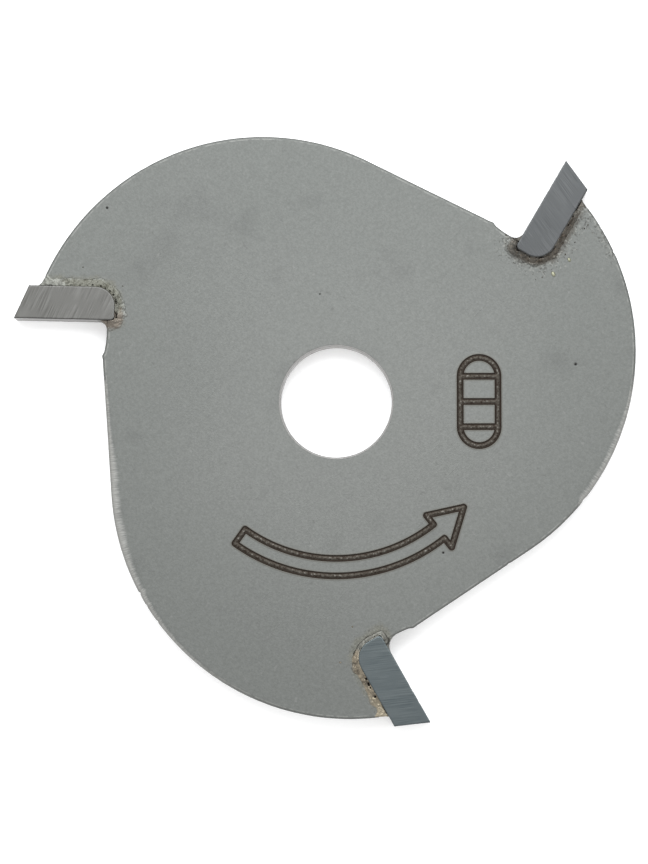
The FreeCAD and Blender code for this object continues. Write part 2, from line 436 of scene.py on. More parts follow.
def symbol_strokes(step):
    """The slot symbol's strokes: a slot with round ends and bars across it."""
    end_r = SYMBOL_WIDTH / 2
    end_y = SYMBOL_LENGTH / 2 - end_r
    strokes = [
        on_line((end_r, -end_y), (end_r, end_y), step),
        on_arc((0, end_y), end_r, 0, 180, step),
        on_line((-end_r, end_y), (-end_r, -end_y), step),
        on_arc((0, -end_y), end_r, 180, 360, step),
    ]
    for k in range(SYMBOL_BARS):
        y = end_y * (2 * k / (SYMBOL_BARS - 1) - 1)
        strokes.append(on_line((-end_r, y), (end_r, y), step))
    return [turned(stroke + np.array([SYMBOL_R, 0]), SYMBOL_ANGLE) for stroke in strokes]


# Across a stroke, from its middle: distance, and depth as a share of the mark's. It was burnt in two passes,
# so a ridge runs along its middle, and metal stands up at its sides. The last rows keep the shading even.
STROKE_SECTION = np.array((
    (0.0, 0.45), (0.07, 0.50), (0.11, 0.88), (0.15, 1.0), (0.19, 0.90), (0.225, 0.0), (0.26, -0.13),
    (0.31, 0.0), (0.34, 0.0), (0.41, 0.0),
))


def all_strokes(step):
    """The strokes of both marks."""
    return arrow_strokes(step) + symbol_strokes(step)


def stroke_rows(strokes):
    """Mesh points beside each stroke, in rows at the section's distances."""
    rows = []
    for stroke in strokes:
        side = left_of(stroke)
        rows += [stroke + side * d * s for d in STROKE_SECTION[:, 0] for s in (1, -1)]
        rows += [on_arc(stroke[0], d, 0, 360, MARK_STEP) for d in STROKE_SECTION[1:, 0]]
    return np.concatenate(rows)


def mark_depth(distance, points):
    """How deep the mark is at a distance from the nearest stroke, with the laser's pulses."""
    depth = np.interp(distance, STROKE_SECTION[:, 0], STROKE_SECTION[:, 1])
    return MARK_DEPTH * depth * waved(1, points, PULSE_WAVES)


# ---- the steel body

# What the layer "edge" says: 1 at the outline, falling to 0 on the flat face, and more in the other zones.
WALL_ZONE = 2.0
RIM_ZONE = 2.7
BORE_ZONE = 3.0

# For the marked face and the back: the turns at which the rounded edge has rows of points, how far beyond it
# more rows lie, and how far from a seam the mesh is fine.
FACE_DETAIL = {
    1: ((14, 30, 48, 68, 90), (0.10, 0.34), 1.7),
    -1: ((25, 55, 90), (0.15,), 0.8),
}

# Rings of points round the bore and each pit, and how far grid points keep from the edge, rim and strokes.
RIM_RINGS = (0.05, 0.25)
RIM_RING_STEP = 0.2
PIT_RINGS = (0.4, 0.8, 1.2, 1.8)
EDGE_GAP = 0.45
RIM_GAP = 0.4
STROKE_GAP = 0.50

# A point of a row is dropped where another stretch of the outline or another stroke is nearer than its own.
RING_SHARE = 0.985
RING_SLACK = 0.004
STROKE_SLACK = 0.012
STROKE_SEARCH_STEP = 0.03
SEAM_SEARCH_STEP = 0.1

# Upright cutting marks on the wall: their depth, how fast they change along it and down it, and their seed.
CUT_MARK_DEPTH = 0.007
CUT_MARK_ALONG = 0.9
CUT_MARK_DOWN = 0.25
CUT_MARK_SEED = 8

# The bore's chamfer in shares of its size: a middle point, then where it ends.
CHAMFER_MIDDLE = (0.25, 0.75)
CHAMFER_END = 1.15
BORE_LEVELS = (0.8, 0.4, 0.0, -0.4, -0.8)

# The layers hold distances only up to these.
FAR_FROM_EDGE = 2
FAR_FROM_SEAM = 4
FAR_FROM_STROKE = 1

# How thickly black specks lie beside each seam, and how far out, then the angle of a patch at the edge.
GRIME = ((1.0, 2.2), (0.35, 1.3), (0.6, 1.5))
LOBE_GRIME = 345.0


def bearing(points):
    """Angles about the bore, from 0 to 360 degrees."""
    return np.degrees(np.arctan2(points[:, 1], points[:, 0])) % 360


def edge_shape(points):
    """How wide and how deep the face's edge is rounded at each outline point."""
    width = np.interp(bearing(points), *zip(*EDGE_WIDTHS))
    width *= waved(1, points, WIDTH_WAVES)
    drop = np.minimum(EDGE_DROP, 0.02 + 0.5 * width)
    return width, drop * waved(1, points, DROP_WAVES)


def worn(points, normals):
    """The outline with its nicks and the slight unevenness of a ground edge."""
    radii = np.linalg.norm(points, axis=1)
    dip = waved(0, points, OUTLINE_WAVES)
    for angle, depth, half_width in NICKS:
        away = np.radians(bearing(points) - angle) * radii / half_width
        dip += depth * np.exp(-4 * away**2)
    return points + normals * dip[:, None]


def seam_path(wing, step):
    """The seam between a tip and its seat, from the gullet round the heel to the seat's outer corner."""
    corner = seat_corner(SEAT_LAG[wing])[0]
    outer_inset = (rake_point(0, 0) - corner) @ polar(1, HOOK)
    start = on_line(rake_point(GULLET_INSET + SEAM_START, 0), rake_point(TIP_LENGTH, 0), step)
    return np.concatenate([start, *round_heel(0, outer_inset, step)])


def thinned(points, gap, fixed):
    """Which points to keep so that none but the first, fixed ones lie closer than the gap."""
    cells = {}
    keep = np.ones(len(points), bool)
    for k, (x, y) in enumerate(points):
        i, j = int(x // gap), int(y // gap)
        around = [q for di in (-1, 0, 1) for dj in (-1, 0, 1) for q in cells.get((i + di, j + dj), ())]
        if k >= fixed and any((x - points[q][0]) ** 2 + (y - points[q][1]) ** 2 < gap * gap for q in around):
            keep[k] = False
        else:
            cells.setdefault((i, j), []).append(k)
    return keep


def edge_rings(outline, normals, near, turns, guards):
    """Rows of points that run in from the outline over the rounded edge: places, drops and edge values."""
    width, drop = edge_shape(outline)
    rows = [(1 - math.cos(a), 1 - math.sin(a), 0) for a in np.radians(turns)] + [(1, 0, g) for g in guards]
    places, drops, edges = [outline], [drop], [np.ones(len(outline))]
    for across, down, beyond in rows:
        inset = width * across + beyond
        points = outline + normals * inset[:, None]
        clear = near.find(points)[0] > inset * RING_SHARE - RING_SLACK
        places.append(points[clear])
        drops.append((drop * down)[clear])
        edges.append(np.full(clear.sum(), 0.0 if beyond else 1 - across))
    return np.concatenate(places), np.concatenate(drops), np.concatenate(edges)


def face_pits(side):
    """The pits' places and radii. The back has them mirrored."""
    return [(polar(radius, angle * side), size) for radius, angle, size in PITS]


def loose_points(side, outline, normals, near, seams, marks):
    """A face's inner points: rings round the bore and the pits, the marks' rows and two grids."""
    rim_r = BORE_R + BORE_CHAMFER
    loose = [on_arc((0, 0), rim_r + more, 0, 360, RIM_RING_STEP) for more in RIM_RINGS]
    for place, size in face_pits(side):
        loose += [on_arc(place, size * share, 0, 360, size / 2) for share in PIT_RINGS]
    if marks:
        rows = stroke_rows(all_strokes(MARK_STEP))
        off_row = np.abs(marks.find(rows)[0][:, None] - STROKE_SECTION[:, 0]).min(1)
        loose.append(rows[off_row < STROKE_SLACK])
    fine = plane_grid(SEAM_FACE_STEP, SEED + 5)
    fine = fine[seams.find(fine)[0] < FACE_DETAIL[side][2]]
    for grid in (fine, plane_grid(FACE_STEP, SEED + side)):
        grid = well_inside(grid, outline, normals, near, edge_shape(outline)[0] + EDGE_GAP)
        grid = grid[np.linalg.norm(grid, axis=1) > rim_r + RIM_GAP]
        loose.append(grid[marks.find(grid)[0] > STROKE_GAP] if marks else grid)
    return np.concatenate(loose)


def hollows(side, plane, marks):
    """At plane points: how deep the marks and pits are, how dark the pits are painted, and how far the
    nearest stroke is.
    """
    depth, soot, stroke = np.zeros(len(plane)), np.zeros(len(plane)), np.ones(len(plane))
    if marks:
        stroke = np.minimum(marks.find(plane)[0], FAR_FROM_STROKE)
        depth += mark_depth(stroke, plane)
    for place, size in face_pits(side):
        hollow = 1 - smooth(np.linalg.norm(plane - place, axis=1), size * 0.3, size * 1.3)
        depth += PIT_DEPTH * hollow
        soot = np.maximum(soot, hollow)
    return depth, soot, stroke


def body_face(side, outline, normals, near, seams):
    """One face of the body: vertices, triangles, layers, and its loops at the outline and the bore."""
    turns, guards, _ = FACE_DETAIL[side]
    ring, drops, edges = edge_rings(outline, normals, near, turns, guards)
    rim = on_arc((0, 0), BORE_R + BORE_CHAMFER, 0, 360, RIM_STEP)
    marks = Near(np.concatenate(all_strokes(STROKE_SEARCH_STEP))) if side > 0 else None
    loose = loose_points(side, outline, normals, near, seams, marks)
    count = len(outline)
    plane = np.concatenate([ring[:count], rim, ring[count:], loose])
    drop = np.concatenate([drops[:count], np.zeros(len(rim)), drops[count:], np.zeros(len(loose))])
    edge = np.concatenate([edges[:count], np.full(len(rim), RIM_ZONE), edges[count:], np.zeros(len(loose))])
    keep = thinned(plane, CLOSEST, len(ring) + len(rim))
    plane, drop, edge = plane[keep], drop[keep], edge[keep]
    depth, soot, stroke = hollows(side, plane, marks)
    loops = [list(range(count)), list(range(count, count + len(rim)))]
    verts, faces, first, now = triangles(plane, *loops)
    hole = {now[k] for k in loops[1]}
    faces = [face for face in faces if not hole.issuperset(face)]
    height = side * (FACE_Z - (drop + depth)[first])
    layers = {"edge": edge[first], "soot": soot[first], "stroke": stroke[first]}
    return np.column_stack([verts, height]), faces, layers, [[now[k] for k in loop] for loop in loops]


def wall_offsets(normals):
    """How fine upright cutting marks move the points of each row down the body's wall."""
    count = len(normals)
    offsets = []
    for row in range(WALL_ROWS):
        places = np.column_stack([np.arange(count) * CUT_MARK_ALONG, np.full(count, row * CUT_MARK_DOWN)])
        dip = CUT_MARK_DEPTH * wander(places, 1, CUT_MARK_SEED)
        offsets.append(np.column_stack([normals * dip[:, None], np.zeros(count)]))
    return offsets


def bore_rows(rim):
    """Rows of points down the bore, with its two chamfers."""
    unit = rim[:, :2] / np.linalg.norm(rim[:, :2], axis=1)[:, None]
    out, down = CHAMFER_MIDDLE
    chamfer = [(BORE_R + BORE_CHAMFER * out, FACE_Z - BORE_CHAMFER * down),
               (BORE_R, FACE_Z - BORE_CHAMFER * CHAMFER_END)]
    levels = chamfer + [(BORE_R, z) for z in BORE_LEVELS] + [(r, -z) for r, z in reversed(chamfer)]
    return [np.column_stack([unit * r, np.full(len(unit), z)]) for r, z in levels]


def edge_layers(verts, outline, normals, near):
    """Distances along the outline and from it, and where the edge was ground wider."""
    from_edge, index = near.find(verts)
    index %= len(outline)
    tangents = np.stack([normals[index][:, 1], -normals[index][:, 0]], 1)
    return {
        "along": index * EDGE_STEP + ((verts[:, :2] - outline[index]) * tangents).sum(1),
        "ground": smooth(edge_shape(outline)[0], 0.14, 0.30)[index],
        "from_edge": np.minimum(from_edge, FAR_FROM_EDGE),
    }


def seam_layers(verts, seams, paths, from_edge):
    """Distance from the nearest seam, that seam's wing, and how thickly black specks lie."""
    distance, nearest = seams.find(verts)
    starts = np.cumsum([0] + [len(path) for path in paths])
    wing = np.searchsorted(starts, nearest, "right") - 1
    strength, reach = np.array(GRIME)[wing].T
    near_lobe = (1 - smooth(np.abs(bearing(verts) - LOBE_GRIME), 3, 8)) * (1 - smooth(from_edge, 0.2, 0.9))
    return {
        "seam": np.minimum(distance, FAR_FROM_SEAM),
        "wing": wing,
        "grime": np.maximum(strength * (1 - smooth(distance / reach, 0.15, 1)), near_lobe),
    }


def steel_body():
    """The steel body as one closed mesh: two faces, the wall round them and the bore."""
    traced = np.concatenate([wing_outline(wing, EDGE_STEP) for wing in range(WINGS)])
    outline = worn(traced, inward(traced))
    normals = inward(outline)
    near = Near(np.concatenate([outline * (1 - t) + np.roll(outline, -1, 0) * t for t in (0, 1 / 3, 2 / 3)]))
    paths = [placed(seam_path(wing, SEAM_SEARCH_STEP), wing) for wing in range(WINGS)]
    seams = Near(np.concatenate(paths))
    shell = Shell("edge", "soot", "stroke")
    ends = []
    for side in FACE_DETAIL:
        verts, faces, layers, loops = body_face(side, outline, normals, near, seams)
        base = shell.add(verts, faces, **layers)
        ends.append([[base + k for k in loop] for loop in loops])
    rings, rims = zip(*ends)
    verts = shell.verts()
    wall = rows_between(verts[rings[0]], verts[rings[1]], wall_offsets(normals))
    shell.close(*rings, wall, edge=WALL_ZONE, soot=0.0, stroke=1.0)
    shell.close(*rims, bore_rows(verts[rims[0]]), edge=BORE_ZONE, soot=0.0, stroke=1.0)
    verts, layers = shell.verts(), shell.layers()
    layers.update(edge_layers(verts, outline, normals, near))
    layers.update(seam_layers(verts, seams, paths, near.find(verts)[0]))
    return build_mesh("steel_body", verts, shell.faces, layers)


# ---- the carbide tips

# The mesh along a tip's outline, over its sides, and how far it keeps off the outline there.
TIP_STEP = 0.11
TIP_FACE_STEP = 0.3
TIP_FACE_GAP = 0.22
TIP_WALL_ROWS = 6

# Small chips along a tip's edges, then the grain of the ground edge: depth, features per millimetre and seed.
CHIPS = (0.018, 2.6, 20)
GRAIN = (0.004, 6.0, 30)

# A tip's broken edge: how far in and how far down each row of points lies, and its edge value.
TIP_BREAKS = ((0.0, 0.030, 1.0), (0.010, 0.010, 0.7), (0.030, 0.0, 0.15), (0.10, 0.0, 0.0))


def tip_half(points):
    """Half the first tip's thickness at plane points. Its side clearances take it down."""
    from_cut = points - polar(CUTTING_R, 0)
    behind = from_cut @ polar(1, HOOK - 90)
    inwards = from_cut @ polar(1, HOOK + 180)
    back_slope, in_slope = (math.tan(math.radians(a)) for a in (SIDE_CLEARANCE_BACK, SIDE_CLEARANCE_IN))
    return HALF_KERF - back_slope * behind - in_slope * inwards


def chips(outline, wing):
    """How deep the chips go at each point of a tip's outline."""
    (chip, chip_scale, chip_seed), (grain, grain_scale, grain_seed) = CHIPS, GRAIN
    dip = smooth(wander(outline, chip_scale, chip_seed + wing), 0.25, 0.6) * chip
    return dip + grain * np.abs(wander(outline, grain_scale, grain_seed + wing))


def carbide_tip(wing):
    """One tip as a closed mesh, with slightly broken edges and small chips along them."""
    traced = tip_outline(TIP_STEP)
    normals = inward(traced)
    outline = traced + normals * chips(traced, wing)[:, None]
    gaps = np.full(len(outline), TIP_FACE_GAP)
    grid = well_inside(plane_grid(TIP_FACE_STEP, SEED + 40), outline, normals, Near(outline), gaps)
    insets, downs, edges = zip(*TIP_BREAKS)
    plane = np.concatenate([outline + normals * inset for inset in insets] + [grid])
    drop, edge = (np.append(np.repeat(row, len(outline)), np.zeros(len(grid))) for row in (downs, edges))
    loop = list(range(len(outline)))
    flat, faces, first, now = triangles(plane, loop)
    shell = Shell("edge")
    ends = []
    for side in (1, -1):
        height = side * (tip_half(flat) - drop[first])
        base = shell.add(np.column_stack([flat, height]), faces, edge=edge[first])
        ends.append([base + now[k] for k in loop])
    verts = shell.verts()
    wall = rows_between(verts[ends[0]], verts[ends[1]], np.zeros(TIP_WALL_ROWS))
    shell.close(*ends, wall, edge=WALL_ZONE)
    verts, layers = shell.verts(), shell.layers()
    from_cut = verts[:, :2] - polar(CUTTING_R, 0)
    layers["across"] = from_cut @ polar(1, -END_CLEARANCE)
    layers["along"] = from_cut @ polar(1, 90 - END_CLEARANCE)
    layers["lift"] = verts[:, 2]
    verts[:, :2] = placed(verts[:, :2], wing)
    return build_mesh("ground_tip_%d" % (wing + 1), verts, shell.faces, layers)


# ---- the brazed joints

# How wide each joint's bead is at places along its seam, and how high it stands.
BEAD_PLACES = (0.0, 0.14, 0.35, 0.55, 0.85, 1.0)
BEAD_WIDTHS = (
    (0.70, 0.78, 0.62, 0.46, 0.42, 0.46),
    (0.80, 0.78, 0.68, 0.58, 0.60, 0.68),
    (0.34, 0.34, 0.40, 0.56, 0.58, 0.66),
)
BEAD_RISES = (0.20, 0.14, 0.16)

# Drops melted into each bead: how many, and their smallest and largest radius. Then how many lie loose.
BEAD_DROPS = ((9, 0.10, 0.20), (6, 0.06, 0.10), (8, 0.06, 0.13))
LOOSE_DROPS = (9, 2, 2)

# The radius of each gullet's fillet, how far its ends draw in, how far its corner lies past the gullet's
# foot, how far its back goes into the steel and how far it stays below the face.
GULLET_FILLETS = (0.70, 0.75, 1.00)
GULLET_SUNKEN = 0.2
GULLET_PAST = 0.05
GULLET_BACK = 0.12
GULLET_BELOW = 0.02

# How far each outer fillet climbs its tip and how high it stands over the face are listed by wing. These are
# how far its ends draw in, where it starts on the lobe, its overlap on the tip, its hollow and its back.
OUTER_SUNKEN = 0.08
LOBE_START = (0.02, 0.25)
TIP_OVERLAP = 0.04
OUTER_HOLLOW = 0.05
OUTER_BACK = 1.2
OUTER_CLIMBS = (0.16, 0.30, 0.14)
OUTER_TOPS = (-0.02, 0.012, 0.012)

# How far along each seam the braze has the gullet's look, and its share of the grain there.
GULLET_ENDS = (0.24, 0.22, 0.44)
GULLET_LUMPS = (1.0, 1.0, 0.2)

# Groups of pores beside each tip: how many, between which places along the seam, and their largest radius.
PORE_GROUPS = (
    ((3, 0.60, 0.95, 0.09), (8, 0.10, 0.50, 0.07)),
    ((14, 0.10, 0.60, 0.075), (4, 0.62, 0.95, 0.05)),
    ((5, 0.52, 0.97, 0.11), (4, 0.05, 0.50, 0.05)),
)

# Two drops that splashed onto the face beside the first tip: radius and angle of each, and its own radius.
SPLASHES = (((18.0, -15.9, 0.21), (19.5, -15.0, 0.17)), (), ())

# A bead's section over one face, from under the tip outwards: distance from the seam in millimetres, plus a
# share of the bead's width, then height over the face in millimetres, plus a share of the bead's rise.
BEAD_SECTION = (
    (-0.05, 0, 0, 1), (0.03, 0, 0, 1), (0, 0.3, 0, 0.62), (0, 0.65, 0, 0.30), (0, 1, 0, 0),
    (0, 0.9, -0.10, 0), (FILM + 0.05, 0, -0.30, 0),
)

# Noise along a bead: features per millimetre, then the steps in the noise from wing to wing and kind to kind.
LUMPS = (1.5, 9.1, 0)
RIPPLE = (2.6, 5.7, 2)

# The fillets: levels as shares of their height with how far each is drawn in, and the points on a curve.
UPRIGHT = ((-1, 1), (-0.93, 0.3), (-0.5, 0), (0, 0), (0.5, 0), (0.93, 0.3), (1, 1))
CURVE = np.linspace(0, 1, 9)

# Drops in a bead reach over a share of its width, and loose ones lie some millimetres out.
BEAD_DROP_REACH = (0.3, 0.9)
BEAD_DROP_LIFT = 0.01
BEAD_DROP_HEIGHT = 0.08
LOOSE_REACH = (0.8, 1.6)
LOOSE_SIZES = (0.04, 0.09)
LOOSE_HEIGHT = 0.03
SPLASH_HEIGHT = 0.05
SPLASH_TURN = 1.2

# Pores: how far from the seam they lie, their smallest size as a share of the largest, and their depth.
PORE_REACH = (0.05, 0.14)
PORE_SHARE = 0.6
PORE_DEPTH = 0.11

# The braze's skin: its mesh, its two grains (features per millimetre, depth) and their share inside the body.
SEAM_STEP = 0.12
VOXEL = 0.055
SMOOTHING = 0.5
SMOOTH_ROUNDS = 3
SKIN_GRAINS = ((3.2, 0.018), (9.0, 0.028))
HIDDEN_GRAIN = 0.35


def swept_film(path, away, width, rise):
    """The braze along the seam: a film through the body's thickness and a bead on each face, as rings."""
    rings = []
    for place, out, w, h in zip(path, away, width, rise):
        half = [(o + w * wide, FACE_Z + z + h * high) for o, wide, z, high in BEAD_SECTION]
        rings.append([(*(place + out * o), z) for o, z in half + [(o, -z) for o, z in reversed(half)]])
    return np.array(rings)


def ring_solid(rings):
    """A closed solid from rings of equal length, with its two ends filled."""
    count, size = rings.shape[:2]
    numbered = [list(range(k * size, (k + 1) * size)) for k in range(count)]
    return rings.reshape(-1, 3), bands(numbered) + [tuple(numbered[0]), tuple(numbered[-1])]


def upright(outline, corner, sunken, top):
    """A closed solid through the body, up to a top height, where it draws in towards a corner by a share."""
    rings = []
    for level, drawn in UPRIGHT:
        rings.append([(*(corner + (p - corner) * (1 - drawn * sunken)), level * top) for p in outline])
    return ring_solid(np.array(rings))


def gullet_fillet(size):
    """The concave fillet between a tip's rake face and the gullet's wall."""
    corner, along, up = rake_point(GULLET_INSET + GULLET_PAST, 0), polar(1, HOOK), polar(1, HOOK + 90)
    arc_centre = corner + (along + up) * size
    curve = [arc_centre + polar(size, HOOK + 270 - 90 * t) for t in CURVE]
    back = (along + up) * -GULLET_BACK
    outline = curve + [corner + up * size + back, corner + back, corner + along * size + back]
    return upright(outline, corner, GULLET_SUNKEN, FACE_Z - GULLET_BELOW)


def outer_fillet(lag, climb, top):
    """The fillet that fills the body's rounded outer corner and climbs the tip's back."""
    corner, lobe = seat_corner(lag)
    outward = angle_of(corner - lobe)
    out, ahead = polar(1, HOOK), polar(1, HOOK + 90)
    inside, before = LOBE_START
    on_lobe = corner + polar(CORNER_R - inside, outward) + polar(before, outward - 90)
    reach = CORNER_R * math.tan(math.radians(HOOK + 90 - outward) / 2)
    apex = corner + polar(CORNER_R, outward) + polar(reach, outward + 90)
    on_tip = apex + ahead * (FILM + TIP_OVERLAP) + out * climb
    control = apex - out * OUTER_HOLLOW
    curve = [on_lobe * (1 - t) ** 2 + control * 2 * t * (1 - t) + on_tip * t * t for t in CURVE]
    return upright(curve + [on_tip - out * OUTER_BACK, corner], corner, OUTER_SUNKEN, FACE_Z + top)


def droplet(place, size, height, turn):
    """A small flattened drop of braze, as a closed solid."""
    shell = bmesh.new()
    bmesh.ops.create_icosphere(shell, subdivisions=2, radius=1)
    spin = Matrix.Rotation(turn, 3, "Z")
    verts = [spin @ Vector((v.co.x * size, v.co.y * size * 0.7, v.co.z * height)) + Vector(place)
             for v in shell.verts]
    faces = [tuple(v.index for v in f.verts) for f in shell.faces]
    shell.free()
    return np.array([v[:] for v in verts]), faces


def random_drops(rng, count, path, across, reach, sizes, lift, height):
    """Drops at random places beside a seam. Reach counts the steps across it."""
    drops = []
    for _ in range(count):
        k = rng.randrange(len(path))
        place = path[k] + across[k] * rng.uniform(*reach)
        drops.append(droplet((*place, FACE_Z + lift), rng.uniform(*sizes), height, rng.uniform(0, 3)))
    return drops


def joined(solids):
    """Several solids' vertices and faces as one list of each."""
    shell = Shell()
    for verts, faces in solids:
        shell.add(verts, faces)
    return shell.verts(), shell.faces


def remeshed(obj):
    """The vertices and normals of the object, once its solids are fused into one smooth skin."""
    fuse = obj.modifiers.new("fuse", "REMESH")
    fuse.mode = "VOXEL"
    fuse.voxel_size = VOXEL * MM
    soften = obj.modifiers.new("soften", "SMOOTH")
    soften.factor = SMOOTHING
    soften.iterations = SMOOTH_ROUNDS
    graph = bpy.context.evaluated_depsgraph_get()
    mesh = bpy.data.meshes.new_from_object(obj.evaluated_get(graph))
    obj.modifiers.clear()
    old, obj.data = obj.data, mesh
    bpy.data.meshes.remove(old)
    return np.array([v.co[:] for v in mesh.vertices]) / MM, np.array([v.normal[:] for v in mesh.vertices])


def along_seam(stations, wave, wing):
    """Noise from -1 to 1 along a wing's seam."""
    scale, wing_gap, kind = wave
    return np.array([noise.noise(Vector((s * scale, wing * wing_gap, kind))) for s in stations])


def braze_solids(rng, wing, path, at, stations, away):
    """The solids that make up one joint before they are fused."""
    ripple = along_seam(stations, RIPPLE, wing)
    width = np.interp(at, BEAD_PLACES, BEAD_WIDTHS[wing])
    width *= 1 + 0.30 * along_seam(stations, LUMPS, wing) + 0.22 * ripple
    rise = BEAD_RISES[wing] * (1 + 0.3 * ripple) * (1 - 0.75 * smooth(at, 0.88, 1))
    count, *sizes = BEAD_DROPS[wing]
    return [
        ring_solid(swept_film(path, away, width, rise)),
        gullet_fillet(GULLET_FILLETS[wing]),
        outer_fillet(SEAT_LAG[wing], OUTER_CLIMBS[wing], OUTER_TOPS[wing]),
        *random_drops(rng, count, path, away * width[:, None], BEAD_DROP_REACH, sizes, BEAD_DROP_LIFT,
                      BEAD_DROP_HEIGHT),
    ]


def pore_values(rng, wing, verts, path, away):
    """How deep each vertex lies in a pore, from 0 to 1. The pores open on the marked face only."""
    pores = [(rng.uniform(first, last), rng.uniform(*PORE_REACH), largest * rng.uniform(PORE_SHARE, 1))
             for count, first, last, largest in PORE_GROUPS[wing] for _ in range(count)]
    pore = np.zeros(len(verts))
    for where, off, size in pores:
        k = min(len(path) - 1, int(where * len(path)))
        gap = np.linalg.norm(verts[:, :2] - (path[k] + away[k] * off), axis=1)
        pore = np.maximum(pore, (1 - smooth(gap, size * 0.4, size * 1.3)) * (verts[:, 2] > 1))
    return pore


def grained(wing, verts, normals, at):
    """The skin's vertices moved by its grain, which is calmer inside the body."""
    rough = np.array([sum(noise.noise(Vector(v * scale)) * depth for scale, depth in SKIN_GRAINS)
                      for v in verts])
    past_gullet = smooth(at, GULLET_ENDS[wing] - 0.1, GULLET_ENDS[wing])
    rough *= GULLET_LUMPS[wing] * (1 - past_gullet) + past_gullet
    free = smooth(np.abs(verts[:, 2]), 1.0, 1.25)
    return verts + normals * (rough * (HIDDEN_GRAIN + (1 - HIDDEN_GRAIN) * free))[:, None]


def braze_joint(wing):
    """One wing's braze: a film, two lumpy beads, a fillet at each end, pores and stray drops."""
    rng = random.Random(SEED + wing)
    path = seam_path(wing, SEAM_STEP)
    stations = np.arange(len(path)) * SEAM_STEP
    at = stations / stations[-1]
    away = -left_of(path)
    solids = braze_solids(rng, wing, path, at, stations, away)
    obj = build_mesh("braze_skin_%d" % (wing + 1), *joined(solids), {})
    verts, normals = remeshed(obj)
    distance, nearest = Near(path).find(verts)
    pore = pore_values(rng, wing, verts, path, away)
    verts = grained(wing, verts, normals, at[nearest])
    verts -= np.array([0, 0, PORE_DEPTH]) * pore[:, None]
    strays = random_drops(rng, LOOSE_DROPS[wing], path, away, LOOSE_REACH, LOOSE_SIZES, 0, LOOSE_HEIGHT)
    splashes = [droplet((*polar(radius, angle), FACE_Z), size, SPLASH_HEIGHT, SPLASH_TURN)
                for radius, angle, size in SPLASHES[wing]]
    shell = Shell("pore", "seam", "seam_at", "splash")
    skin_faces = [tuple(p.vertices) for p in obj.data.polygons]
    shell.add(verts, skin_faces, pore=pore, seam=distance, seam_at=at[nearest], splash=0.0)
    for drops, splash in ((strays, 0.0), (splashes, 1.0)):
        for drop_verts, drop_faces in drops:
            shell.add(drop_verts, drop_faces, pore=0.0, seam=0.3, seam_at=0.5, splash=splash)
    mesh = obj.data
    bpy.data.objects.remove(obj)
    bpy.data.meshes.remove(mesh)
    verts = shell.verts()
    verts[:, :2] = placed(verts[:, :2], wing)
    return build_mesh("braze_%d" % (wing + 1), verts, shell.faces, shell.layers())


# ---- materials

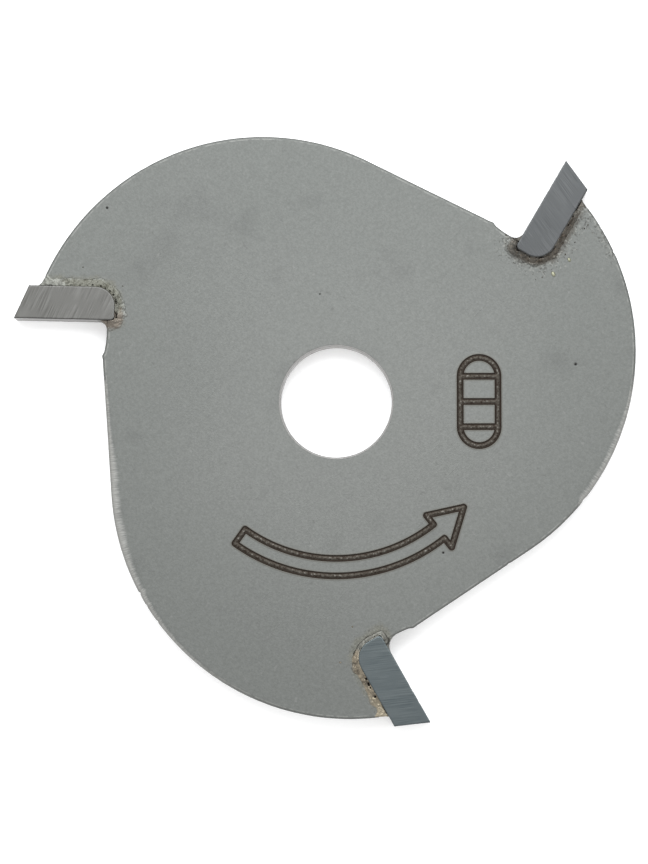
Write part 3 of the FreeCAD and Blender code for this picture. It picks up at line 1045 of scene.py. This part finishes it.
class Paint:
    """A metal whose nodes are made by short calls. Each call gives back the socket that it made."""

    def __init__(self, name, roughness, colour):
        self.material = bpy.data.materials.new(name)
        self.material.use_nodes = True
        self.tree = self.material.node_tree
        self.shader = self.tree.nodes["Principled BSDF"].inputs
        self.feed(self.shader["Metallic"], 1.0)
        self.feed(self.shader["Roughness"], roughness)
        place = self.node("TexCoord", {}, "Object")
        self.place = self.node("VectorMath", {0: place, "Scale": 1 / MM}, operation="SCALE")
        self.colour, self.normal = colour, None

    def feed(self, socket, value):
        """Links a socket into another, or sets a plain value on it."""
        if isinstance(value, bpy.types.NodeSocket):
            self.tree.links.new(value, socket)
        else:
            socket.default_value = (*value, 1.0) if socket.type == "RGBA" else value

    def node(self, kind, inputs, output=0, **settings):
        """Makes a node with its settings and inputs, and gives back one of its outputs."""
        made = self.tree.nodes.new("ShaderNode" + kind)
        for name, value in settings.items():
            setattr(made, name, value)
        for key, value in inputs.items():
            self.feed(made.inputs[key], value)
        return made.outputs[output]

    def layer(self, name):
        """A value that the mesh holds at each vertex."""
        return self.node("Attribute", {}, "Fac", attribute_name=name)

    def math(self, operation, a, b=0.0):
        """An operation on two values. Here and below, a value is a socket or a number."""
        return self.node("Math", {0: a, 1: b}, operation=operation)

    def times(self, a, b):
        return self.math("MULTIPLY", a, b)

    def wavered(self, value, wave, amount):
        """A value moved up and down by noise, by up to half an amount."""
        return self.math("ADD", value, self.times(self.math("SUBTRACT", wave, 0.5), amount))

    def vector(self, operation, a, b, output=0):
        """An operation on two vectors."""
        return self.node("VectorMath", {0: a, 1: b}, output, operation=operation)

    def mix_value(self, share, a, b):
        """Value a, taken towards value b by a share."""
        return self.node("Mix", {0: share, 2: a, 3: b})

    def mix(self, share, a, b):
        """Colour a, taken towards colour b by a share."""
        return self.node("Mix", {0: share, 6: a, 7: b}, 2, data_type="RGBA")

    def ramp(self, value, low, high):
        """0 up to low, 1 from high on and smooth between, or the other way round if high is the lower one."""
        ends = (low, high, 0.0, 1.0) if low < high else (high, low, 1.0, 0.0)
        inputs = dict(zip(("Value", "From Min", "From Max", "To Min", "To Max"), (value, *ends)))
        return self.node("MapRange", inputs, interpolation_type="SMOOTHSTEP")

    def noise(self, scale, detail=2.0, at=None, shift=0.0, harsh=0.5):
        """Noise from 0 to 1, with scale in features per millimetre."""
        at = at or self.place
        inputs = {"Vector": at, "W": shift, "Scale": scale, "Detail": detail, "Roughness": harsh}
        return self.node("TexNoise", inputs, "Fac", noise_dimensions="4D")

    def lines(self, count, value, y, z=0.0, detail=2.0, shift=0.0):
        """Noise drawn out into lines: how many per unit of a value, and two values that change along them."""
        at = self.node("CombineXYZ", {0: self.times(value, count), 1: y, 2: z})
        return self.noise(1.0, detail, at=at, shift=shift)

    def tone(self, towards, share, most=None):
        """Takes the colour so far towards another, by a share or by a share of the most that it may be."""
        self.colour = self.mix(share if most is None else self.times(share, most), self.colour, towards)

    def relief(self, height, depth):
        """Adds relief that is depth millimetres deep."""
        inputs = {"Distance": depth * MM, "Height": height}
        if self.normal:
            inputs["Normal"] = self.normal
        self.normal = self.node("Bump", inputs)

    def finish(self):
        """The material, with its colour and relief joined to its shader."""
        self.feed(self.shader["Base Color"], self.colour)
        self.feed(self.shader["Normal"], self.normal)
        return self.material


BLACK = (0, 0, 0)
STEEL = (0.130, 0.1345, 0.128)
# A paler steel for the painted highlight on the face.
STEEL_HIGHLIGHT = (0.147, 0.151, 0.144)
# Pale ground steel, also a painted highlight on the rounded edges.
STEEL_GROUND_AND_HIGHLIGHT = (0.275, 0.275, 0.262)
STEEL_WALL = (0.112, 0.112, 0.109)
STEEL_WALL_PALE = (0.185, 0.185, 0.180)
# The bore's wall, painted pale as painted light.
BORE_WALL_LIGHT = (0.340, 0.333, 0.326)
SMUDGE = (0.056, 0.056, 0.056)
SPECK_PALE = (0.180, 0.180, 0.174)
SPECK_DARK = (0.068, 0.068, 0.065)
# Painted shade along the outline.
RIM_SHADE = (0.068, 0.068, 0.066)
PIT_DARK = (0.014, 0.014, 0.014)
BURNT = (0.027, 0.021, 0.017)
BURNT_RIDGE = (0.058, 0.052, 0.044)
BURNT_GLINT = (0.143, 0.136, 0.122)
BURNT_HALO = (0.088, 0.083, 0.071)
STAIN_DARK = (0.054, 0.048, 0.039)
STAIN_TAN = (0.146, 0.143, 0.119)
STAIN_DULL = (0.088, 0.087, 0.071)
FLAKE = (0.184, 0.184, 0.170)
BLACK_SPECK = (0.034, 0.032, 0.029)

# A painted highlight: the face is painted palest round this place.
HIGHLIGHT_MIDDLE = (-0.3, -2.5, 0.0)

# Where the layer "edge" turns from the face to the wall, and from the wall to the bore.
ON_WALL = (1.2, 1.8)
OFF_WALL = (1.6, 1.2)
IN_BORE = (2.2, 2.8)


def blast(paint, speck):
    """The blasted face: a broad painted highlight, paler towards the middle, with faint clouds, grain and
    specks.
    """
    flat = paint.vector("MULTIPLY", paint.place, (1.0, 1.0, 0.0))
    off_middle = paint.vector("DISTANCE", flat, HIGHLIGHT_MIDDLE, "Value")
    middle = paint.math("ADD", off_middle, paint.times(paint.noise(0.09), 8.0))
    grain = paint.noise(6.0, 3.0, harsh=0.65)
    # Painted highlight: the face is taken towards a paler grey round its middle.
    paint.tone(STEEL_HIGHLIGHT, paint.ramp(middle, 24.0, 8.0))
    even = paint.colour
    paint.tone(BLACK, 0.16)
    paint.tone(even, paint.ramp(grain, 0.30, 0.72))
    paint.tone(SMUDGE, paint.ramp(paint.noise(0.28, shift=2.5), 0.58, 0.74), 0.16)
    paint.tone(SPECK_PALE, paint.ramp(speck, 0.66, 0.78), 0.35)
    paint.tone(SPECK_DARK, paint.ramp(speck, 0.34, 0.22), 0.30)


def edge_wear_and_light(paint, speck):
    """A pale line just inside the rounded edge, partly wear and partly painted highlight, and a painted shade
    line at the outline.
    """
    from_edge = paint.layer("from_edge")
    line = paint.times(paint.ramp(from_edge, 0.12, 0.17), paint.ramp(from_edge, 0.24, 0.19))
    paint.tone(STEEL_GROUND_AND_HIGHLIGHT, paint.times(line, paint.ramp(speck, 0.42, 0.56)), 0.35)
    # Painted shade: a dark line right at the outline, where the edge turns away.
    paint.tone(RIM_SHADE, paint.ramp(from_edge, 0.10, 0.03), 0.25)


def scattered(paint, grime, size, shift, more):
    """Small spots that lie as thickly as the layer "grime" says."""
    spots = paint.math("ADD", paint.noise(size, 3.0, shift=shift, harsh=0.6), paint.times(grime, more))
    return paint.times(paint.ramp(spots, 0.62, 0.76), paint.ramp(grime, 0.02, 0.4))


def stain(paint):
    """Stains close to the seams, dark at the first, tan at the others, then pale flakes and dark specks."""
    patch = paint.noise(1.5, 3.0, shift=1.0, harsh=0.6)
    crumbs = paint.noise(7.0, 3.0, shift=9.0, harsh=0.65)
    close = paint.ramp(paint.math("ADD", paint.layer("seam"), paint.times(patch, -1.1)), 0.35, -0.15)
    first = paint.ramp(paint.layer("wing"), 0.6, 0.4)
    others = paint.times(close, paint.math("SUBTRACT", 1.0, first))
    paint.tone(STAIN_DARK, paint.times(close, first), 0.75)
    paint.tone(paint.mix(paint.ramp(crumbs, 0.40, 0.60), STAIN_DULL, STAIN_TAN), others, 0.65)
    grime = paint.layer("grime")
    paint.tone(FLAKE, scattered(paint, grime, 5.5, 7.5, 0.12), 0.7)
    paint.tone(BLACK_SPECK, scattered(paint, grime, 6.0, 6.0, 0.13), 0.6)


def burn(paint):
    """The marks: a faint brown halo, dark burnt channels, and a paler ridge with the laser's pulses in it and
    painted glints along it.
    """
    stroke = paint.layer("stroke")
    pulses = paint.noise(7.0, 1.0, shift=3.0)
    paint.tone(BURNT_HALO, paint.ramp(stroke, 0.40, 0.24), 0.6)
    paint.tone(BURNT, paint.ramp(stroke, 0.262, 0.215))
    paint.tone(BURNT_RIDGE, paint.ramp(stroke, 0.15, 0.09), paint.ramp(pulses, 0.30, 0.55))
    # Painted highlight: pale glints on the ridge.
    paint.tone(BURNT_GLINT, paint.ramp(stroke, 0.12, 0.05), paint.ramp(pulses, 0.60, 0.70))


def blasted_steel():
    """Grey blasted steel with ground edges, burnt marks, pits, and stains beside the brazed joints, and
    painted light: a broad highlight on the face, highlights on the ground edges, shade at the outline and a
    pale bore wall.
    """
    paint = Paint("blasted_steel", 0.55, STEEL)
    speck = paint.noise(2.6, shift=4.0)
    edge, along = paint.layer("edge"), paint.layer("along")
    grooves = paint.lines(13.0, along, edge, shift=2.0)
    streaks = paint.lines(6.0, along, edge, detail=3.0, shift=5.0)
    ground = paint.times(paint.ramp(paint.wavered(edge, grooves, 0.6), 0.05, 0.75), paint.layer("ground"))
    # The wide ground bands are painted pale in grooves: partly the ground metal, partly a painted highlight
    # where they catch the light.
    striped_ground_and_highlight = paint.mix(paint.ramp(grooves, 0.32, 0.66), paint.mix(0.24, STEEL_GROUND_AND_HIGHLIGHT, BLACK), STEEL_GROUND_AND_HIGHLIGHT)
    on_wall = paint.ramp(edge, *ON_WALL)
    blast(paint, speck)
    paint.tone(striped_ground_and_highlight, ground, paint.ramp(edge, *OFF_WALL))
    edge_wear_and_light(paint, speck)
    paint.tone(paint.mix(paint.ramp(streaks, 0.34, 0.66), STEEL_WALL, STEEL_WALL_PALE), on_wall)
    # Painted light: the bore's wall is painted pale, so that it shows no dark shade.
    paint.tone(BORE_WALL_LIGHT, paint.ramp(edge, *IN_BORE))
    stain(paint)
    burn(paint)
    # The pits are painted near black.
    paint.tone(PIT_DARK, paint.layer("soot"))
    scratches = paint.noise(1.0, 1.0, at=paint.vector("MULTIPLY", paint.place, (0.25, 7.0, 1.0)), shift=8.0)
    paint.relief(paint.noise(8.0, 3.0, harsh=0.7), 0.010)
    paint.relief(paint.times(grooves, ground), 0.014)
    paint.relief(paint.times(streaks, on_wall), 0.02)
    paint.relief(paint.ramp(scratches, 0.70, 0.76), 0.003)
    return paint.finish()


# Each tip's main colour, the paler colour of its lines, its arris, and how much its single scratches show.
# The main colours are painted reflection: the same carbide, paler or darker by how each tip's grinding
# catches the light.
# The arris is a painted line along the broken edges: painted shade on the first and third tips, a painted
# highlight on the second.
TIP_REFLECTION_TINTS = (
    ((0.044, 0.046, 0.047), (0.066, 0.068, 0.069), (0.052, 0.053, 0.054), 0.1),
    ((0.047, 0.046, 0.043), (0.080, 0.079, 0.075), (0.075, 0.073, 0.070), 0.1),
    ((0.060, 0.072, 0.076), (0.092, 0.105, 0.108), (0.050, 0.055, 0.057), 0.8),
)
TIP_SCRATCH = (0.163, 0.163, 0.163)
# The tips' walls are painted far paler than their faces: painted light on the narrow walls. Their drawn lines
# and patches are grinding marks.
TIP_WALL_LIT = (0.142, 0.136, 0.132)
TIP_WALL_LIT_PALE = (0.205, 0.196, 0.190)
TIP_WALL_LINE = (0.060, 0.058, 0.056)


def ground_carbide(wing):
    """Carbide ground with fine lines that run along the tip's end, and walls with lines drawn along them. Its
    tone is painted reflection, with painted light and shade along the edges and walls painted paler.
    """
    reflection_tint, pale, arris_light_and_shade, scratched = TIP_REFLECTION_TINTS[wing]
    paint = Paint("ground_carbide_%d" % (wing + 1), 0.36, reflection_tint)
    across, lift, edge = paint.layer("across"), paint.layer("lift"), paint.layer("edge")
    slow = paint.times(paint.layer("along"), 0.5)
    level = paint.times(lift, 0.4)
    fine = paint.lines(13.0, across, slow, level, shift=wing * 3.0)
    coarse = paint.lines(1.6, across, slow, level, 1.0, wing + 9.0)
    scratches = paint.lines(5.0, across, slow, level, 1.0, wing + 4.0)
    strength = paint.ramp(paint.noise(0.7, shift=wing + 2.0), 0.35, 0.65)
    arris_band = paint.times(paint.ramp(edge, 0.05, 0.6), paint.ramp(edge, 1.5, 1.1))
    paint.tone(pale, paint.ramp(paint.mix_value(strength, 0.5, fine), 0.3, 0.7))
    paint.tone(pale, paint.ramp(coarse, 0.50, 0.70), 0.5)
    paint.tone(TIP_SCRATCH, paint.ramp(scratches, 0.74, 0.79), scratched)
    # Painted light and shade along the tip's broken edges.
    paint.tone(arris_light_and_shade, arris_band, paint.ramp(paint.noise(3.0, shift=5.0), 0.40, 0.6))
    patchy = paint.noise(2.2, 3.0, shift=7.0, harsh=0.6)
    drawn = paint.times(paint.ramp(paint.lines(9.0, lift, slow, across, shift=wing + 6.0), 0.40, 0.66), 0.35)
    # Painted light: the walls take a paler tone than the faces.
    wall = paint.mix(paint.ramp(patchy, 0.32, 0.70), TIP_WALL_LIT, TIP_WALL_LIT_PALE)
    paint.tone(paint.mix(drawn, wall, TIP_WALL_LINE), paint.ramp(edge, *ON_WALL))
    paint.relief(fine, 0.004)
    return paint.finish()


# Each joint's main colour, dark scale, bright specks, colour in the gullet and colour at the outer end.
BRAZE_COLOURS = (
    ((0.079, 0.073, 0.063), (0.035, 0.031, 0.026), (0.150, 0.117, 0.090), (0.056, 0.054, 0.048),
     (0.068, 0.065, 0.058)),
    ((0.088, 0.088, 0.075), (0.052, 0.051, 0.041), (0.130, 0.129, 0.110), (0.132, 0.112, 0.095),
     (0.158, 0.160, 0.146)),
    ((0.188, 0.163, 0.124), (0.074, 0.065, 0.052), (0.300, 0.256, 0.196), (0.112, 0.116, 0.108),
     (0.225, 0.198, 0.148)),
)

# Each joint's share of flecks in the gullet, how far a painted shade line follows the tip, and how far from
# the seam it lies.
BRAZE_LINES = ((0.7, 0.6, 0.03), (0.7, 0.0, 0.03), (0.1, 0.48, 0.36))
SEAM_SHADE = (0.020, 0.019, 0.017)
SPLASH = (0.204, 0.204, 0.150)
PORE = (0.008, 0.007, 0.006)


def silver_braze(wing):
    """Lumpy braze with dark scale, bright specks and pores, other colours at its two ends, and a painted
    shade line beside the tip.
    """
    main, scale, bright, gullet, outer = BRAZE_COLOURS[wing]
    gullet_flecks, shade_end, shade_off = BRAZE_LINES[wing]
    gullet_end = GULLET_ENDS[wing]
    paint = Paint("silver_braze_%d" % (wing + 1), 0.45, scale)
    patch = paint.noise(2.4, 4.0, shift=wing * 2.0, harsh=0.65)
    fleck = paint.noise(12.0, 3.0, shift=wing + 5.0, harsh=0.6)
    seam = paint.layer("seam")
    at = paint.wavered(paint.layer("seam_at"), patch, 0.3)
    in_gullet = paint.ramp(at, gullet_end, gullet_end - 0.1)
    flecks = paint.mix_value(in_gullet, 0.7, gullet_flecks)
    thin = paint.times(paint.ramp(paint.wavered(seam, fleck, 0.7), 0.42, 0.72), paint.ramp(at, 0.96, 0.90))
    off_shade = paint.math("ABSOLUTE", paint.math("SUBTRACT", seam, shade_off))
    line = paint.times(paint.ramp(off_shade, 0.12, 0.03), paint.ramp(at, shade_end, shade_end - 0.1))
    paint.tone(main, paint.ramp(patch, 0.36, 0.56))
    paint.tone(gullet, in_gullet, 0.8)
    paint.tone(outer, paint.ramp(at, 0.84, 0.92), 0.8)
    paint.tone(bright, paint.ramp(fleck, 0.55, 0.66), flecks)
    paint.tone(scale, paint.ramp(fleck, 0.42, 0.34), flecks)
    paint.tone(STEEL, thin, 0.8)
    # Painted shade: a dark line along the gap beside the tip.
    paint.tone(SEAM_SHADE, line, 0.8)
    paint.tone(SPLASH, paint.layer("splash"))
    paint.tone(PORE, paint.ramp(paint.layer("pore"), 0.25, 0.7))
    paint.relief(fleck, 0.015)
    return paint.finish()


def plain_floor():
    """A pale matt floor that glows a little, so that the object's own shadow stays faint."""
    material = bpy.data.materials.new("pale_floor")
    material.use_nodes = True
    shader = material.node_tree.nodes["Principled BSDF"]
    shader.inputs["Base Color"].default_value = FLOOR_WHITE
    shader.inputs["Roughness"].default_value = 0.9
    shader.inputs["Specular IOR Level"].default_value = 0.2
    shader.inputs["Emission Color"].default_value = FULL_WHITE
    shader.inputs["Emission Strength"].default_value = FLOOR_GLOW
    return material


# ---- the stage: floor, light and camera

FLOOR_HALF = 2.0
FLOOR_WHITE = (0.82, 0.82, 0.82, 1)
FLOOR_GLOW = 0.30
FULL_WHITE = (1, 1, 1, 1)
SKY = 1.195
LAMP_COLOUR = (0.975, 1.0, 1.02)
CLIP_START = 0.01

# Soft lights: place in the picture's own directions (right, up, towards the eye), size and power.
LAMPS = (
    ("softbox_top", (0.0, 0.09, 0.20), (0.16, 0.12), 0.43),
    ("strip_lower_left", (-0.30, -0.16, 0.07), (0.30, 0.08), 0.10),
    ("strip_lower_right", (0.28, -0.20, 0.07), (0.30, 0.08), 0.10),
)


def from_picture(right, up, forth):
    """A place given along the picture's own directions, in the frame, in the same unit."""
    plane = turned(np.array([right, up]), PICTURE_ANGLE)
    return Vector((plane[0], plane[1], forth))


def aimed(obj, target, top):
    """Points an object's -Z at a target, with its Y towards top."""
    back = (obj.location - target).normalized()
    right = top.cross(back).normalized()
    turn = Matrix((right, back.cross(right), back)).transposed()
    obj.matrix_world = Matrix.Translation(obj.location) @ turn.to_4x4()


def make_camera():
    """The camera, almost over the bore."""
    camera = added("camera", bpy.data.cameras.new("camera"))
    camera.data.sensor_width = SENSOR
    camera.data.lens = SENSOR * EYE_HEIGHT / PICTURE_HEIGHT
    camera.data.clip_start = CLIP_START
    camera.location = from_picture(EYE_RIGHT * MM, EYE_UP * MM, EYE_HEIGHT * MM)
    aimed(camera, from_picture(AIM_RIGHT * MM, AIM_UP * MM, 0), from_picture(0, 1, 0))
    bpy.context.scene.camera = camera


def make_lights():
    """An even white sky and three soft lights."""
    world = bpy.data.worlds.new("soft_sky")
    world.use_nodes = True
    sky = world.node_tree.nodes["Background"]
    sky.inputs["Color"].default_value = FULL_WHITE
    sky.inputs["Strength"].default_value = SKY
    bpy.context.scene.world = world
    for name, place, size, power in LAMPS:
        lamp = bpy.data.lights.new(name, "AREA")
        lamp.shape = "RECTANGLE"
        lamp.size, lamp.size_y = size
        lamp.energy = power
        lamp.color = LAMP_COLOUR
        obj = added(name, lamp)
        obj.location = from_picture(*place)
        aimed(obj, Vector((0, 0, 0)), Vector((0, 0, 1)))


def make_floor():
    """A plain floor under the tips' lowest faces."""
    corners = [(x * FLOOR_HALF, y * FLOOR_HALF, cad_low.z) for x, y in ((-1, -1), (1, -1), (1, 1), (-1, 1))]
    mesh = bpy.data.meshes.new("floor")
    mesh.from_pydata(corners, [], [(0, 1, 2, 3)])
    mesh.materials.append(plain_floor())
    floor = added("floor", mesh)


def finished(obj, material, node):
    """Gives a piece its material and its body, and hides the CAD node that it stands for."""
    obj.data.materials.append(material)
    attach(obj, "root")
    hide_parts(node)


bpy.context.scene.view_settings.view_transform = "Standard"
make_camera()
make_lights()
make_floor()
finished(steel_body(), blasted_steel(), "cutter_body")
for wing in range(WINGS):
    finished(carbide_tip(wing), ground_carbide(wing), "carbide_tip_%d" % (wing + 1))
    finished(braze_joint(wing), silver_braze(wing), "braze_joint_%d" % (wing + 1))
